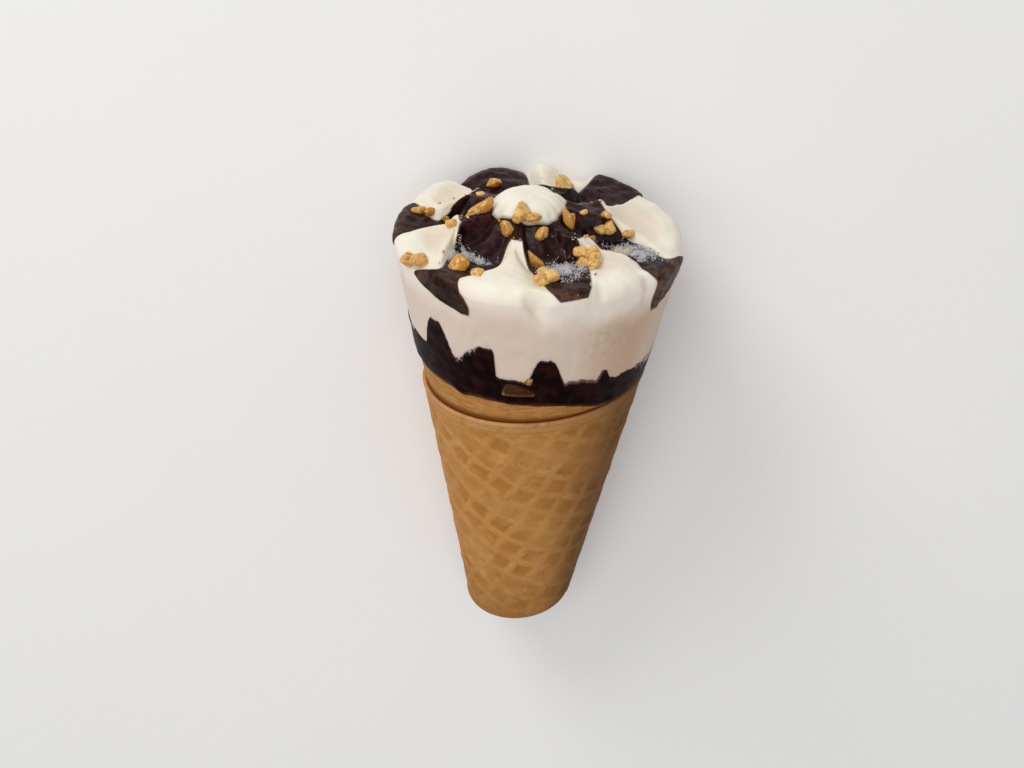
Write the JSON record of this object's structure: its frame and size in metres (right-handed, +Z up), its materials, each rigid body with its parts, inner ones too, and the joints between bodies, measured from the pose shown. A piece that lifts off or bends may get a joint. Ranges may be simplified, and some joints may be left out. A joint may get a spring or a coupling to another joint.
{
  "type": "ice cream cone",
  "caption": "Filled ice cream cone lying on its side: rolled waffle wafer, cream petals, chocolate topping and layer, chopped nuts.",
  "frame": {"origin": "middle of the box's underside, on the surface that the cone lies on", "axes": "+Y along the cone from its blunt end to its top, +Z up, +X to the right of the shown side"},
  "size_m": [0.0596, 0.1052, 0.0582],
  "materials": {
    "wafer": "baked wafer, matt with a faint waffle relief",
    "ice_cream": "smooth satin ice cream",
    "chocolate": "dark chocolate, satin with brown thin edges",
    "nut": "roasted caramelised nut pieces"
  },
  "bodies": {
    "root": {"wafer_cone": "wafer", "ice_cream_in_cone": "ice_cream", "chocolate_layer": "chocolate", "ice_cream": "ice_cream", "chocolate_topping": "chocolate"}
  },
  "joints": []
}
